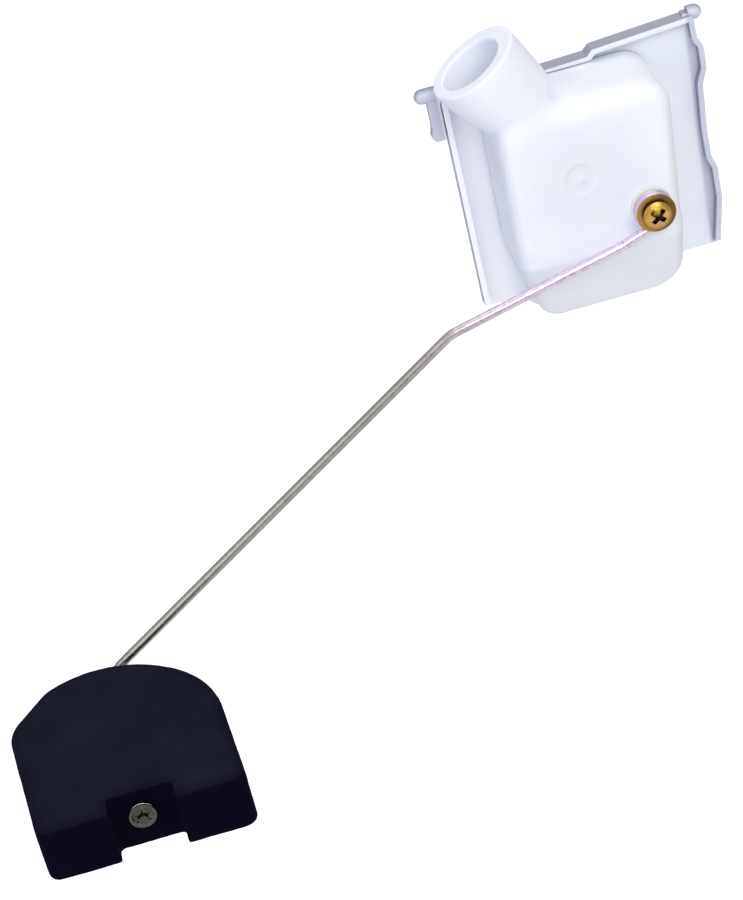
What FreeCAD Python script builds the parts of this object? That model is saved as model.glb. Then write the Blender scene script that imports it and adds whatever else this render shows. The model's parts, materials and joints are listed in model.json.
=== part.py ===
import FreeCAD, Part
import math
import os

from FreeCAD import Placement, Rotation, Vector

# Float valve, in millimetres. The origin is where the arm's pivot axis meets the plate's back face.
# +X is to the right as the valve is faced, +Y runs back through the plate, +Z is up.

X_AXIS = Vector(1, 0, 0)
Y_AXIS = Vector(0, 1, 0)
Z_AXIS = Vector(0, 0, 1)
TOWARDS_FRONT = Vector(0, -1, 0)

# --- mounting plate ---
PLATE_THICKNESS = 2.0
PLATE_RIM_HEIGHT = 2.5
PLATE_RIM_WIDTH = 1.4
PLATE_TOP_LEFT = (-43.1, 32.2)
PLATE_TOP_RIGHT = (22.4, 36.7)
PLATE_STEP = (-4.0, 33.5)
PLATE_STEP_HEIGHT = 1.5
PLATE_BOTTOM_Z = -28.2
PLATE_BOTTOM_LEFT_X = -42.7
PLATE_BOTTOM_RIGHT_X = 20.2
PLATE_LIP_Z = -31.9
# Two long bumps on the right edge: how far right they reach, their top, their foot.
UPPER_BUMP = (23.8, 28.2, 22.0)
LOWER_BUMP = (22.6, -5.8, -14.6)
WAIST_X = 21.4
WAIST_Z = 5.0
LATCH_DEPTH = 2.8
LATCH_Y = -1.9
LATCH_GAP = 0.2
LATCH_FINGER = 3.1
LATCH_FOOT_Z = 21.4
LUG_ROOT = 2.5
KNOB_RADIUS = 1.9
LEFT_LUG_RISE = 2.2
LEFT_KNOB_LENGTH = 5.2
RIGHT_LUG_RISE = 0.5
RIGHT_KNOB_LENGTH = 1.8

# --- valve body: chamber and spigot ---
WALL = 1.8
GASKET_THICKNESS = 0.8
BODY_BACK_Y = -PLATE_THICKNESS - GASKET_THICKNESS
BODY_FRONT_Y = -25.0
BODY_LEFT_X = -34.3
BODY_RIGHT_X = 8.6
BODY_TOP_Z = 32.0
BODY_BOTTOM_Z = -31.2
BEVEL_TOP_Z = -9.5
BEVEL_FOOT_Y = -12.0
BODY_EDGE_RADIUS = 4.0
GATE_MARK = (-16.0, 12.0)
GATE_MARK_RADIUS = 4.0
GATE_MARK_DEPTH = 0.35
GATE_PIP_RADIUS = 1.1
OUTLET_LEFT_X = -22.0
OUTLET_LENGTH = 20.0
OUTLET_BACK_Y = -3.9
OUTLET_WIDTH = 6.0

# --- water way: its axis leans to the left of +Z and lies in a plane parallel to the plate ---
LEAN_DEG = 27.5
FLOW_Y = -14.0
# The spigot is straight on the pivot's side and flares to the other side, so its outside is given
# as circles: height along the water way, how far the centre is from its axis, radius.
SPIGOT_CIRCLES = [(38.0, 2.65, 10.05), (42.0, 1.95, 10.7), (48.0, 1.15, 11.45), (56.0, 0.65, 11.9)]
SPIGOT_MOUTH = SPIGOT_CIRCLES[-1][0]
SPIGOT_BORE_RADIUS = 8.2
SPIGOT_BORE_FOOT = 45.0
THROAT_RADIUS = 6.0
THROAT_TOP = 37.5
SLEEVE_FOOT = 24.0
SLEEVE_BORE_RADIUS = 8.2
SLEEVE_WALL = 1.5
SHOULDER_FOOT = 34.0

# --- pivot, crank and plunger ---
CRANK_RADIUS = 11.0
REST_BEFORE_MID_DEG = 10.0
ARM_UP_DEG = 30.0
SLIDE_PER_RADIAN = 10.83
TRAVEL_TO_SEAT = SLIDE_PER_RADIAN * math.radians(ARM_UP_DEG)
SEAT_GAP = 0.05
RUNNING_GAP = 0.05
FIT_GAP = 0.03

SPINDLE_RADIUS = 2.5
SPINDLE_BACK_Y = -3.2
SPINDLE_SHOULDER_Y = -26.15
SPINDLE_SHOULDER_RADIUS = 4.9
ROD_RADIUS = 1.25
ROD_PLANE_Y = -28.0
EYE_RADIUS = 3.7
EYE_SWEEP_DEG = 280.0

BUSH_RADIUS = 4.0
BUSH_FLANGE_RADIUS = 5.2
BUSH_INNER_Y = -20.3
REAR_BOSS_RADIUS = 5.2
REAR_BOSS_FRONT_Y = -9.5
REAR_BUSH_RADIUS = 3.5

CRANK_FRONT_Y = -20.0
CRANK_THICKNESS = 3.0
CRANK_HUB_RADIUS = 5.0
CRANK_HUB_LENGTH = 5.0
CRANK_PIN_RADIUS = 1.5
CRANK_EYE_RADIUS = 2.9
CRANK_PIN_BACK_Y = -8.9
CLIP_THICKNESS = 0.6

CROSSHEAD_WIDTH = 10.0
CROSSHEAD_HEIGHT = 7.4
CROSSHEAD_DEPTH = 6.0
SLOT_CLEARANCE = 0.15
STEM_RADIUS = 2.5
DISC_RADIUS = 6.3
WASHER_RADIUS = 5.3
WASHER_THICKNESS = 2.8
WASHER_PROUD = 0.9
DISC_WEB = 2.4
WASHER_SCREW_RADIUS = 1.2

SEAT_LIP = 29.0
SEAT_FOOT = 30.0
SEAT_TOP = SHOULDER_FOOT
SEAT_ORIFICE_RADIUS = 4.0
SEAT_RING_GROOVE = 1.6
SEAL_CORD_RADIUS = 0.75
CAGE_FOOT = 9.0
CAGE_FLOOR = 3.0
CAGE_BORE_RADIUS = 6.9
CAGE_WINDOWS = 3

# --- rod and float ---
# The straight from the eye to the first bend passes the pivot at ROD_LINE_OFFSET, wider than the
# eye, so the rod leaves the eye through a slight set, ROD_SET_REACH along that straight.
ROD_LINE_OFFSET = 4.9
ROD_SET_REACH = 11.0
ROD_SET_RADIUS = 14.0
ROD_BEND = (-55.9, -18.4)
ROD_BEND_RADIUS = 8.0
ROD_END_BEND_RADIUS = 3.5
ROD_END_Y = -91.2
FLOAT_X = -160.2
FLOAT_AXIS_Z = -88.1
FLOAT_TOP_Z = -80.9
FLOAT_BOTTOM_Z = -97.3
FLOAT_FRONT_Y = -94.3
FLOAT_CHANNEL_WIDTH = 16.4
FLOAT_CHANNEL_DEPTH = 5.9
FLOAT_CHANNEL_OFFSET = 0.7
FLOAT_TOP_EDGE_RADIUS = 1.6
FLOAT_BOTTOM_EDGE_RADIUS = 2.2
FLOAT_SLEEVE_RADIUS = 2.2
FLOAT_BACK_Y = -34.2
# The corners of the float's D-shaped plan: X from the bore's axis, Y, radius of the corner.
FLOAT_PLAN = [
    (-25.4, FLOAT_FRONT_Y, 3.0),
    (26.8, FLOAT_FRONT_Y, 3.0),
    (24.5, -47.1, 30.0),
    (-1.2, -31.1, 26.0),
    (-17.2, -37.2, 12.0),
    (-28.3, -51.0, 12.0),
]
SLEEVE_FLANGE = 0.5

# --- fasteners ---
SCREW_RADIUS = 1.45
SCREW_HEAD_RADIUS = 2.8
SCREW_LENGTH = 12.0
SCREW_BOSS_RADIUS = 3.0
SCREW_PLACES = [(4.2, 25.8), (3.0, -20.5), (-26.0, -17.5), (-29.2, 6.0)]
ARM_SCREW_RADIUS = 1.5
ARM_SCREW_LENGTH = 10.0
ARM_SCREW_HEAD_RADIUS = 3.6
ARM_SCREW_HEAD_HEIGHT = 1.7
ARM_SCREW_RECESS_WIDTH = 4.4
ARM_SCREW_RECESS_SLOT = 1.3
ARM_SCREW_RECESS_DEPTH = 2.6
ARM_WASHER_RADIUS = 5.0
ARM_WASHER_THICKNESS = 0.6
LOCK_WASHER_THICKNESS = 0.5
STAR_WASHER_RADIUS = 3.4
STAR_WASHER_RIM = 0.8
STAR_WASHER_THICKNESS = 0.5
STAR_WASHER_DISH = 0.6
STAR_WASHER_TEETH = 6

# The flow frame has its origin at the foot of the pivot on the water way's axis.
# In it +Z runs up the water way to the mouth, and +X points at the pivot.
lean = math.radians(LEAN_DEG)
FLOW_ORIGIN = Vector(-CRANK_RADIUS * math.cos(lean), FLOW_Y, -CRANK_RADIUS * math.sin(lean))
FLOW = Placement(FLOW_ORIGIN, Rotation(Y_AXIS, -LEAN_DEG))
CRANK_PLACE = Placement(Vector(), Rotation(Y_AXIS, -LEAN_DEG - REST_BEFORE_MID_DEG))
WASHER_FACE = SEAT_LIP - TRAVEL_TO_SEAT - SEAT_GAP


# --- helpers ---
def placed(shape, placement):
    """The shape moved from a local frame into the valve's frame."""
    shape.Placement = placement.multiply(shape.Placement)
    return shape


def cylinder(radius, length, base, axis=TOWARDS_FRONT):
    return Part.makeCylinder(radius, length, base, axis)


def ring(outer, inner, length, base, axis=TOWARDS_FRONT):
    return cylinder(outer, length, base, axis).cut(cylinder(inner, length, base, axis))


def box_between(low, high):
    size = high - low
    return Part.makeBox(size.x, size.y, size.z, low)


def front_view(y):
    """Maps an outline's (u, v) to X and Z at the depth y."""
    return lambda p: Vector(p.x, y, p.y)


def side_view(x):
    """Maps an outline's (u, v) to Y and Z at the place x."""
    return lambda p: Vector(x, p.x, p.y)


def plan_view(z):
    """Maps an outline's (u, v) to X and Y at the height z."""
    return lambda p: Vector(p.x, p.y, z)


def rounded_corner(before, here, after, radius):
    """Start, middle and end of the arc that rounds a corner."""
    to_before = (before - here).normalize()
    to_after = (after - here).normalize()
    half = to_before.getAngle(to_after) / 2
    start = here + to_before * (radius / math.tan(half))
    end = here + to_after * (radius / math.tan(half))
    inwards = (to_before + to_after).normalize()
    return start, here + inwards * (radius / math.sin(half) - radius), end


def outline(corners, place):
    """A closed wire through corners (u, v, radius), each rounded with its own radius."""
    points = [Vector(u, v, 0) for u, v, radius in corners]
    arcs = []
    for i, (u, v, radius) in enumerate(corners):
        after = points[(i + 1) % len(points)]
        if radius > 0:
            arcs.append(rounded_corner(points[i - 1], points[i], after, radius))
        else:
            arcs.append((points[i], points[i], points[i]))
    edges = []
    for i, (start, middle, end) in enumerate(arcs):
        if start.distanceToPoint(end) > 1e-6:
            edges.append(Part.Arc(place(start), place(middle), place(end)).toShape())
        following = arcs[(i + 1) % len(arcs)][0]
        if end.distanceToPoint(following) > 1e-6:
            edges.append(Part.makeLine(place(end), place(following)))
    return Part.Wire(edges)


def slab(wire, along):
    return Part.Face(wire).extrude(along)


def cross_recess(centre, width, slot, depth):
    """A cross-shaped cutter, depth deep behind centre, for a screw head that faces the front."""
    arms = []
    for x_size, z_size in ((width, slot), (slot, width)):
        low = centre - Vector(x_size / 2, 0, z_size / 2)
        arms.append(Part.makeBox(x_size, depth, z_size, low))
    return arms[0].fuse(arms[1])


# --- mounting plate ---
def plate_corners():
    step_x, step_z = PLATE_STEP
    return [
        (PLATE_TOP_LEFT[0], PLATE_TOP_LEFT[1], 0.8),
        (step_x - PLATE_STEP_HEIGHT, step_z, 0.5),
        (step_x, step_z + PLATE_STEP_HEIGHT, 0.5),
        (PLATE_TOP_RIGHT[0], PLATE_TOP_RIGHT[1], 0.8),
        (UPPER_BUMP[0] - 1.2, UPPER_BUMP[1] + 2.4, 2.0),
        (UPPER_BUMP[0], UPPER_BUMP[1], 2.5),
        (UPPER_BUMP[0], UPPER_BUMP[2], 2.5),
        (UPPER_BUMP[0] - 1.6, UPPER_BUMP[2] - 4.0, 4.0),
        (WAIST_X, WAIST_Z, 6.0),
        (LOWER_BUMP[0] - 1.1, LOWER_BUMP[1] + 3.4, 3.0),
        (LOWER_BUMP[0], LOWER_BUMP[1], 2.5),
        (LOWER_BUMP[0], LOWER_BUMP[2], 3.0),
        (PLATE_BOTTOM_RIGHT_X, PLATE_BOTTOM_Z, 2.0),
        (BODY_RIGHT_X + 2.5, PLATE_BOTTOM_Z, 1.0),
        (BODY_RIGHT_X - 1.5, PLATE_LIP_Z, 3.0),
        (BODY_LEFT_X + 5.0, PLATE_LIP_Z, 3.0),
        (BODY_LEFT_X + 1.5, PLATE_BOTTOM_Z, 1.0),
        (PLATE_BOTTOM_LEFT_X, PLATE_BOTTOM_Z, 1.0),
    ]


def plate_rim():
    """A raised rim along the plate's two sides and its top, open where the spigot passes."""
    upright = Vector(0, -PLATE_RIM_HEIGHT, 0)
    edge = outline(plate_corners(), front_view(-PLATE_THICKNESS))
    inside = edge.makeOffset2D(-PLATE_RIM_WIDTH)
    rim = slab(edge, upright).cut(slab(inside, upright))
    below = box_between(Vector(-60, -10, -40), Vector(40, 0, PLATE_BOTTOM_Z + 1.5))
    passage = spigot_loft(0.7)
    chamber = outline(chamber_corners(), front_view(-PLATE_THICKNESS)).makeOffset2D(0.3)
    return rim.cut([below, passage, slab(chamber, upright)])


def corner_knob(corner, side, lug_width, lug_rise, knob_length):
    """A lug on a top corner, with a round-ended knob that points outwards."""
    edge_x, corner_z = corner
    low_y = LATCH_Y - LATCH_DEPTH / 2
    lug_top = corner_z + lug_rise
    inner_x = edge_x - LUG_ROOT * side
    outer_x = inner_x + lug_width * side
    lug = box_between(
        Vector(min(inner_x, outer_x), low_y, corner_z - 1.0),
        Vector(max(inner_x, outer_x), low_y + LATCH_DEPTH, lug_top),
    )
    knob_base = Vector(edge_x - side, LATCH_Y, lug_top - 0.6)
    knob = cylinder(KNOB_RADIUS, knob_length, knob_base, X_AXIS * side)
    cap = Part.makeSphere(KNOB_RADIUS, knob_base + X_AXIS * (side * knob_length))
    return lug.fuse([knob, cap])


def latch_finger():
    """A springy finger with a barb, which hangs from the left knob's lug beside the plate's edge."""
    edge_x, corner_z = PLATE_TOP_LEFT
    low_y = LATCH_Y - LATCH_DEPTH / 2
    outer_x = edge_x - LATCH_GAP - LATCH_FINGER
    finger_corners = [
        (outer_x, corner_z, 0),
        (outer_x + LATCH_FINGER, corner_z, 0),
        (outer_x + LATCH_FINGER, LATCH_FOOT_Z, 0.4),
        (outer_x + 0.4, LATCH_FOOT_Z, 0.2),
        (outer_x - 0.5, LATCH_FOOT_Z + 1.2, 0.3),
        (outer_x, LATCH_FOOT_Z + 3.4, 1.0),
    ]
    return slab(outline(finger_corners, front_view(low_y)), Vector(0, LATCH_DEPTH, 0))


def screw_hole(x, z):
    through = cylinder(SCREW_RADIUS + 0.15, PLATE_THICKNESS, Vector(x, 0, z))
    sink_depth = SCREW_HEAD_RADIUS - SCREW_RADIUS
    sink = Part.makeCone(
        SCREW_HEAD_RADIUS + 0.1, SCREW_RADIUS + 0.1, sink_depth, Vector(x, 0, z), TOWARDS_FRONT
    )
    return through.fuse(sink)


def mounting_plate():
    base = slab(outline(plate_corners(), front_view(0)), Vector(0, -PLATE_THICKNESS, 0))
    left_lug_width = LUG_ROOT + LATCH_GAP + LATCH_FINGER
    left = corner_knob(PLATE_TOP_LEFT, -1, left_lug_width, LEFT_LUG_RISE, LEFT_KNOB_LENGTH)
    right = corner_knob(PLATE_TOP_RIGHT, 1, LUG_ROOT, RIGHT_LUG_RISE, RIGHT_KNOB_LENGTH)
    boss_base = Vector(0, -PLATE_THICKNESS, 0)
    boss_length = -REAR_BOSS_FRONT_Y - PLATE_THICKNESS
    boss = cylinder(REAR_BOSS_RADIUS, boss_length, boss_base)
    plate = base.fuse([plate_rim(), left, latch_finger(), right, boss])
    bore_length = -REAR_BOSS_FRONT_Y + SPINDLE_BACK_Y + 0.4
    bore = cylinder(REAR_BUSH_RADIUS, bore_length, Vector(0, SPINDLE_BACK_Y + 0.4, 0))
    behind = box_between(Vector(-70, 0, -50), Vector(50, 5, 50))
    holes = [screw_hole(x, z) for x, z in SCREW_PLACES]
    return plate.cut([bore, behind] + holes).removeSplitter()


# --- valve body ---
def chamber_corners():
    return [
        (BODY_LEFT_X, BODY_TOP_Z, 8.0),
        (BODY_RIGHT_X + 1.4, BODY_TOP_Z, 7.0),
        (BODY_RIGHT_X - 0.8, -4.0, 6.0),
        (BODY_RIGHT_X - 0.2, BODY_BOTTOM_Z, 9.0),
        (BODY_LEFT_X + 5.2, BODY_BOTTOM_Z, 6.0),
        (BODY_LEFT_X - 0.4, -9.0, 6.0),
    ]


def chamber_block(inset, back_y):
    """The chamber's outer form, drawn in by inset on its sides, front and bevel."""
    room = 50.0
    bevel_rate = (BEVEL_FOOT_Y - BODY_FRONT_Y) / (BEVEL_TOP_Z - BODY_BOTTOM_Z)
    low_z = BODY_BOTTOM_Z - 8.0
    low_y = BEVEL_FOOT_Y + bevel_rate * 8.0
    profile = [
        (room, room, 0),
        (BODY_FRONT_Y, room, 0),
        (BODY_FRONT_Y, BEVEL_TOP_Z, 0),
        (low_y, low_z, 0),
        (room, low_z, 0),
    ]
    front = outline(chamber_corners(), front_view(back_y))
    side = outline(profile, side_view(-room))
    if inset > 0:
        front = front.makeOffset2D(-inset)
        side = side.makeOffset2D(-inset)
    return slab(front, Vector(0, -room, 0)).common(slab(side, X_AXIS * (2 * room)))


def rounded_block(inset, back_y):
    """The chamber's form drawn in by inset, with its front edges rounded."""
    block = chamber_block(inset, back_y)
    front_edges = {}
    for face in block.Faces:
        faces_front = face.normalAt(0, 0).y < -0.5 and face.Surface.TypeId == "Part::GeomPlane"
        if faces_front:
            for edge in face.Edges:
                front_edges[edge.hashCode()] = edge
    return block.makeFillet(BODY_EDGE_RADIUS - inset, list(front_edges.values()))


def screw_bosses():
    """Bosses that reach from the chamber's front to the plate."""
    length = -BODY_FRONT_Y - PLATE_THICKNESS
    tubes = []
    for x, z in SCREW_PLACES:
        tubes.append(cylinder(SCREW_BOSS_RADIUS, length, Vector(x, -PLATE_THICKNESS, z)))
    return tubes[0].fuse(tubes[1:])


def gate_mark():
    """A shallow round dimple with a pip in its middle, on the chamber's front."""
    base = Vector(GATE_MARK[0], BODY_FRONT_Y + GATE_MARK_DEPTH, GATE_MARK[1])
    return ring(GATE_MARK_RADIUS, GATE_PIP_RADIUS, 1.0, base)


def spigot_loft(margin):
    """The spigot's outside, larger all round by margin."""
    circles = []
    for height, offset, radius in SPIGOT_CIRCLES:
        circles.append(Part.Wire(Part.makeCircle(radius + margin, Vector(offset, 0, height), Z_AXIS)))
    return placed(Part.makeLoft(circles, True), FLOW)


def bored(radius, foot, top, top_radius=None):
    """A round cutter on the water way's axis, tapered if it has a second radius."""
    base = Vector(0, 0, foot)
    if top_radius is None:
        return placed(cylinder(radius, top - foot, base, Z_AXIS), FLOW)
    return placed(Part.makeCone(radius, top_radius, top - foot, base, Z_AXIS), FLOW)


def water_way():
    """Everything that is open from the spigot's mouth to the foot of its sleeve."""
    return [
        bored(SLEEVE_BORE_RADIUS, SLEEVE_FOOT, SHOULDER_FOOT),
        bored(THROAT_RADIUS, SHOULDER_FOOT - 1, THROAT_TOP),
        bored(THROAT_RADIUS, THROAT_TOP, SPIGOT_BORE_FOOT, SPIGOT_BORE_RADIUS),
        bored(SPIGOT_BORE_RADIUS, SPIGOT_BORE_FOOT, SPIGOT_MOUTH),
    ]


def valve_body():
    outer = rounded_block(0, BODY_BACK_Y)
    shell = outer.cut(rounded_block(WALL, BODY_BACK_Y + 5.0))
    bush_boss_length = -BODY_FRONT_Y + BUSH_INNER_Y
    bush_boss = cylinder(BUSH_RADIUS + 2.2, bush_boss_length, Vector(0, BUSH_INNER_Y, 0))
    inside = screw_bosses().fuse(bush_boss).common(chamber_block(WALL / 2, -PLATE_THICKNESS))
    sleeve_top = SPIGOT_CIRCLES[0][0] + 1.0
    sleeve = bored(SLEEVE_BORE_RADIUS + SLEEVE_WALL, SLEEVE_FOOT, sleeve_top).common(outer)
    body = shell.fuse([inside, sleeve, spigot_loft(0)])
    bush_hole = cylinder(BUSH_RADIUS, 12, Vector(0, BUSH_INNER_Y + 1, 0))
    outlet = box_between(
        Vector(OUTLET_LEFT_X, OUTLET_BACK_Y - OUTLET_WIDTH, BODY_BOTTOM_Z - 1),
        Vector(OUTLET_LEFT_X + OUTLET_LENGTH, OUTLET_BACK_Y, BODY_BOTTOM_Z + WALL + 0.5),
    )
    pilots = [
        cylinder(SCREW_RADIUS + FIT_GAP, SCREW_LENGTH + 0.5, Vector(x, 0, z)) for x, z in SCREW_PLACES
    ]
    cutters = water_way() + [bush_hole, outlet, gate_mark()] + pilots
    return body.cut(cutters).removeSplitter()


def body_gasket():
    edge = outline(chamber_corners(), front_view(-PLATE_THICKNESS))
    outside = edge.makeOffset2D(-0.15)
    inside = edge.makeOffset2D(-WALL)
    upright = Vector(0, -GASKET_THICKNESS, 0)
    gaps = []
    for x, z in SCREW_PLACES:
        gaps.append(cylinder(SCREW_BOSS_RADIUS + 0.1, GASKET_THICKNESS, Vector(x, -PLATE_THICKNESS, z)))
    return slab(outside, upright).cut([slab(inside, upright)] + gaps)


def body_screw(x, z):
    """A countersunk self-tapping screw, put in from the plate's back."""
    sink_depth = SCREW_HEAD_RADIUS - SCREW_RADIUS
    head = Part.makeCone(
        SCREW_HEAD_RADIUS, SCREW_RADIUS, sink_depth, Vector(x, -0.05, z), TOWARDS_FRONT
    )
    shank = cylinder(SCREW_RADIUS, SCREW_LENGTH - 2, Vector(x, -0.05, z))
    point_base = Vector(x, -SCREW_LENGTH + 1.95, z)
    point = Part.makeCone(SCREW_RADIUS, 0.5, 2, point_base, TOWARDS_FRONT)
    recess = cross_recess(Vector(x, -0.75, z), 2.8, 0.6, 1.0)
    return head.fuse([shank, point]).cut(recess)


def body_screws():
    return Part.makeCompound([body_screw(x, z) for x, z in SCREW_PLACES])


# --- seat and cage, in the water way ---
def seat_ring():
    body = cylinder(SLEEVE_BORE_RADIUS - FIT_GAP, SEAT_TOP - SEAT_FOOT, Vector(0, 0, SEAT_FOOT), Z_AXIS)
    lip = Part.makeCone(
        SEAT_ORIFICE_RADIUS + 0.6, SEAT_ORIFICE_RADIUS + 1.6, SEAT_FOOT - SEAT_LIP,
        Vector(0, 0, SEAT_LIP), Z_AXIS,
    )
    orifice = cylinder(SEAT_ORIFICE_RADIUS, 10, Vector(0, 0, SEAT_LIP - 1), Z_AXIS)
    entry = Part.makeCone(SEAT_ORIFICE_RADIUS, THROAT_RADIUS, 1.6, Vector(0, 0, SEAT_TOP - 1.6), Z_AXIS)
    groove_foot = (SEAT_FOOT + SEAT_TOP - SEAT_RING_GROOVE) / 2
    groove = ring(
        SLEEVE_BORE_RADIUS + 1, SLEEVE_BORE_RADIUS - 2 * SEAL_CORD_RADIUS - 0.06, SEAT_RING_GROOVE,
        Vector(0, 0, groove_foot), Z_AXIS,
    )
    return placed(body.fuse(lip).cut([orifice, entry, groove]), FLOW)


def seat_oring():
    middle = (SEAT_FOOT + SEAT_TOP) / 2
    centre_radius = SLEEVE_BORE_RADIUS - SEAL_CORD_RADIUS - FIT_GAP
    return placed(Part.makeTorus(centre_radius, SEAL_CORD_RADIUS, Vector(0, 0, middle), Z_AXIS), FLOW)


def valve_cage():
    """A windowed tube that guides the plunger's stem in its floor."""
    tube = cylinder(SLEEVE_BORE_RADIUS - FIT_GAP, SEAT_FOOT - CAGE_FOOT, Vector(0, 0, CAGE_FOOT), Z_AXIS)
    floor_top = CAGE_FOOT + CAGE_FLOOR
    room = cylinder(CAGE_BORE_RADIUS, SEAT_FOOT - floor_top, Vector(0, 0, floor_top), Z_AXIS)
    guide = cylinder(STEM_RADIUS + RUNNING_GAP, CAGE_FLOOR + 2, Vector(0, 0, CAGE_FOOT - 1), Z_AXIS)
    windows = []
    for i in range(CAGE_WINDOWS):
        window = box_between(Vector(-4.2, 0, floor_top), Vector(4.2, 12, SLEEVE_FOOT - 2.5))
        window.rotate(Vector(), Z_AXIS, 360.0 / CAGE_WINDOWS * i)
        windows.append(window)
    return placed(tube.cut([room, guide] + windows), FLOW)


# --- pivot ---
def spindle_bush():
    length = -SPINDLE_SHOULDER_Y - 0.15 + BUSH_INNER_Y
    sleeve = cylinder(BUSH_RADIUS - FIT_GAP, length, Vector(0, BUSH_INNER_Y, 0))
    flange_length = -SPINDLE_SHOULDER_Y - 0.15 + BODY_FRONT_Y
    flange = cylinder(BUSH_FLANGE_RADIUS, flange_length, Vector(0, BODY_FRONT_Y, 0))
    bore = cylinder(SPINDLE_RADIUS + RUNNING_GAP, 10, Vector(0, BUSH_INNER_Y + 1, 0))
    groove = cylinder(SPINDLE_RADIUS + 1.25, 1.4, Vector(0, BODY_FRONT_Y + 2.4, 0))
    return sleeve.fuse(flange).cut([bore, groove])


def spindle_oring():
    cord = 0.56
    centre = Vector(0, BODY_FRONT_Y + 1.7, 0)
    return Part.makeTorus(SPINDLE_RADIUS + RUNNING_GAP + cord + 0.02, cord, centre, Y_AXIS)


def rear_bush():
    length = -REAR_BOSS_FRONT_Y + SPINDLE_BACK_Y
    base = Vector(0, SPINDLE_BACK_Y, 0)
    return ring(REAR_BUSH_RADIUS - FIT_GAP, SPINDLE_RADIUS + RUNNING_GAP, length, base)


def spindle():
    shaft = cylinder(SPINDLE_RADIUS, SPINDLE_BACK_Y - SPINDLE_SHOULDER_Y, Vector(0, SPINDLE_BACK_Y, 0))
    eye_back = ROD_PLANE_Y + ROD_RADIUS
    shoulder_length = SPINDLE_SHOULDER_Y - eye_back
    shoulder = cylinder(SPINDLE_SHOULDER_RADIUS, shoulder_length, Vector(0, SPINDLE_SHOULDER_Y, 0))
    nose_radius = EYE_RADIUS - ROD_RADIUS - 0.06
    nose = cylinder(nose_radius, 2 * ROD_RADIUS - 0.1, Vector(0, eye_back, 0))
    tapping_base = Vector(0, ROD_PLANE_Y - ROD_RADIUS - 0.1, 0)
    tapping = cylinder(ARM_SCREW_RADIUS + FIT_GAP, ARM_SCREW_LENGTH, tapping_base, Y_AXIS)
    return shaft.fuse([shoulder, nose]).cut([tapping, roll_pin_hole()]).removeSplitter()


def roll_pin_hole():
    start = Vector(-CRANK_HUB_RADIUS - 1, CRANK_FRONT_Y + CRANK_HUB_LENGTH - 1.2, 0)
    return placed(cylinder(0.6 + FIT_GAP, 2 * CRANK_HUB_RADIUS + 2, start, X_AXIS), ROLL_PIN_TURN)


ROLL_PIN_TURN = Placement(Vector(), Rotation(Y_AXIS, 45.0))


def crank_roll_pin():
    length = 2 * CRANK_HUB_RADIUS - 0.4
    start = Vector(-length / 2, CRANK_FRONT_Y + CRANK_HUB_LENGTH - 1.2, 0)
    pin = cylinder(0.6, length, start, X_AXIS).cut(cylinder(0.3, length, start, X_AXIS))
    return placed(pin, ROLL_PIN_TURN)


def crank():
    """A hub with a tapered arm, whose eye holds the crank pin."""
    hub = cylinder(CRANK_HUB_RADIUS, CRANK_HUB_LENGTH, Vector(0, CRANK_FRONT_Y + CRANK_HUB_LENGTH, 0))
    arm_back = CRANK_FRONT_Y + CRANK_THICKNESS
    eye = cylinder(CRANK_EYE_RADIUS, CRANK_THICKNESS, Vector(-CRANK_RADIUS, arm_back, 0))
    lean_in = math.asin((CRANK_HUB_RADIUS - CRANK_EYE_RADIUS) / CRANK_RADIUS)
    sides = []
    for side in (1, -1):
        for centre_x, radius in ((0, CRANK_HUB_RADIUS), (-CRANK_RADIUS, CRANK_EYE_RADIUS)):
            sides.append((centre_x - radius * math.sin(lean_in), side * radius * math.cos(lean_in), 0))
    corners = [sides[0], sides[1], sides[3], sides[2]]
    arm = slab(outline(corners, front_view(arm_back)), Vector(0, -CRANK_THICKNESS, 0))
    pin_hole = cylinder(CRANK_PIN_RADIUS + FIT_GAP, 20, Vector(-CRANK_RADIUS, arm_back + 5, 0))
    whole = placed(hub.fuse([eye, arm]).cut(pin_hole), CRANK_PLACE)
    shaft_hole = cylinder(SPINDLE_RADIUS + FIT_GAP, 20, Vector(0, CRANK_FRONT_Y + 10, 0))
    return whole.cut([shaft_hole, roll_pin_hole()]).removeSplitter()


def clip_groove_y():
    return FLOW_Y + CROSSHEAD_DEPTH / 2 + 0.25 + CLIP_THICKNESS


def crank_pin():
    length = CRANK_PIN_BACK_Y - CRANK_FRONT_Y
    pin = cylinder(CRANK_PIN_RADIUS, length, Vector(-CRANK_RADIUS, CRANK_PIN_BACK_Y, 0))
    groove_base = Vector(-CRANK_RADIUS, clip_groove_y() + 0.05, 0)
    groove = ring(3, CRANK_PIN_RADIUS - 0.4, CLIP_THICKNESS + 0.1, groove_base)
    return placed(pin.cut(groove), CRANK_PLACE)


def crank_clip():
    """An open retaining ring in the crank pin's groove."""
    base = Vector(-CRANK_RADIUS, clip_groove_y(), 0)
    body = ring(2.7, CRANK_PIN_RADIUS - 0.4 + FIT_GAP, CLIP_THICKNESS, base)
    mouth = box_between(
        Vector(-CRANK_RADIUS - 4, base.y - 2, -0.75), Vector(-CRANK_RADIUS, base.y + 2, 0.75)
    )
    return placed(body.cut(mouth), CRANK_PLACE)


# --- plunger ---
def crank_pin_in_flow():
    """Where the crank pin's axis meets the flow frame's X-Z plane at rest."""
    turn = math.radians(REST_BEFORE_MID_DEG)
    return Vector(CRANK_RADIUS * (1 - math.cos(turn)), 0, -CRANK_RADIUS * math.sin(turn))


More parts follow.
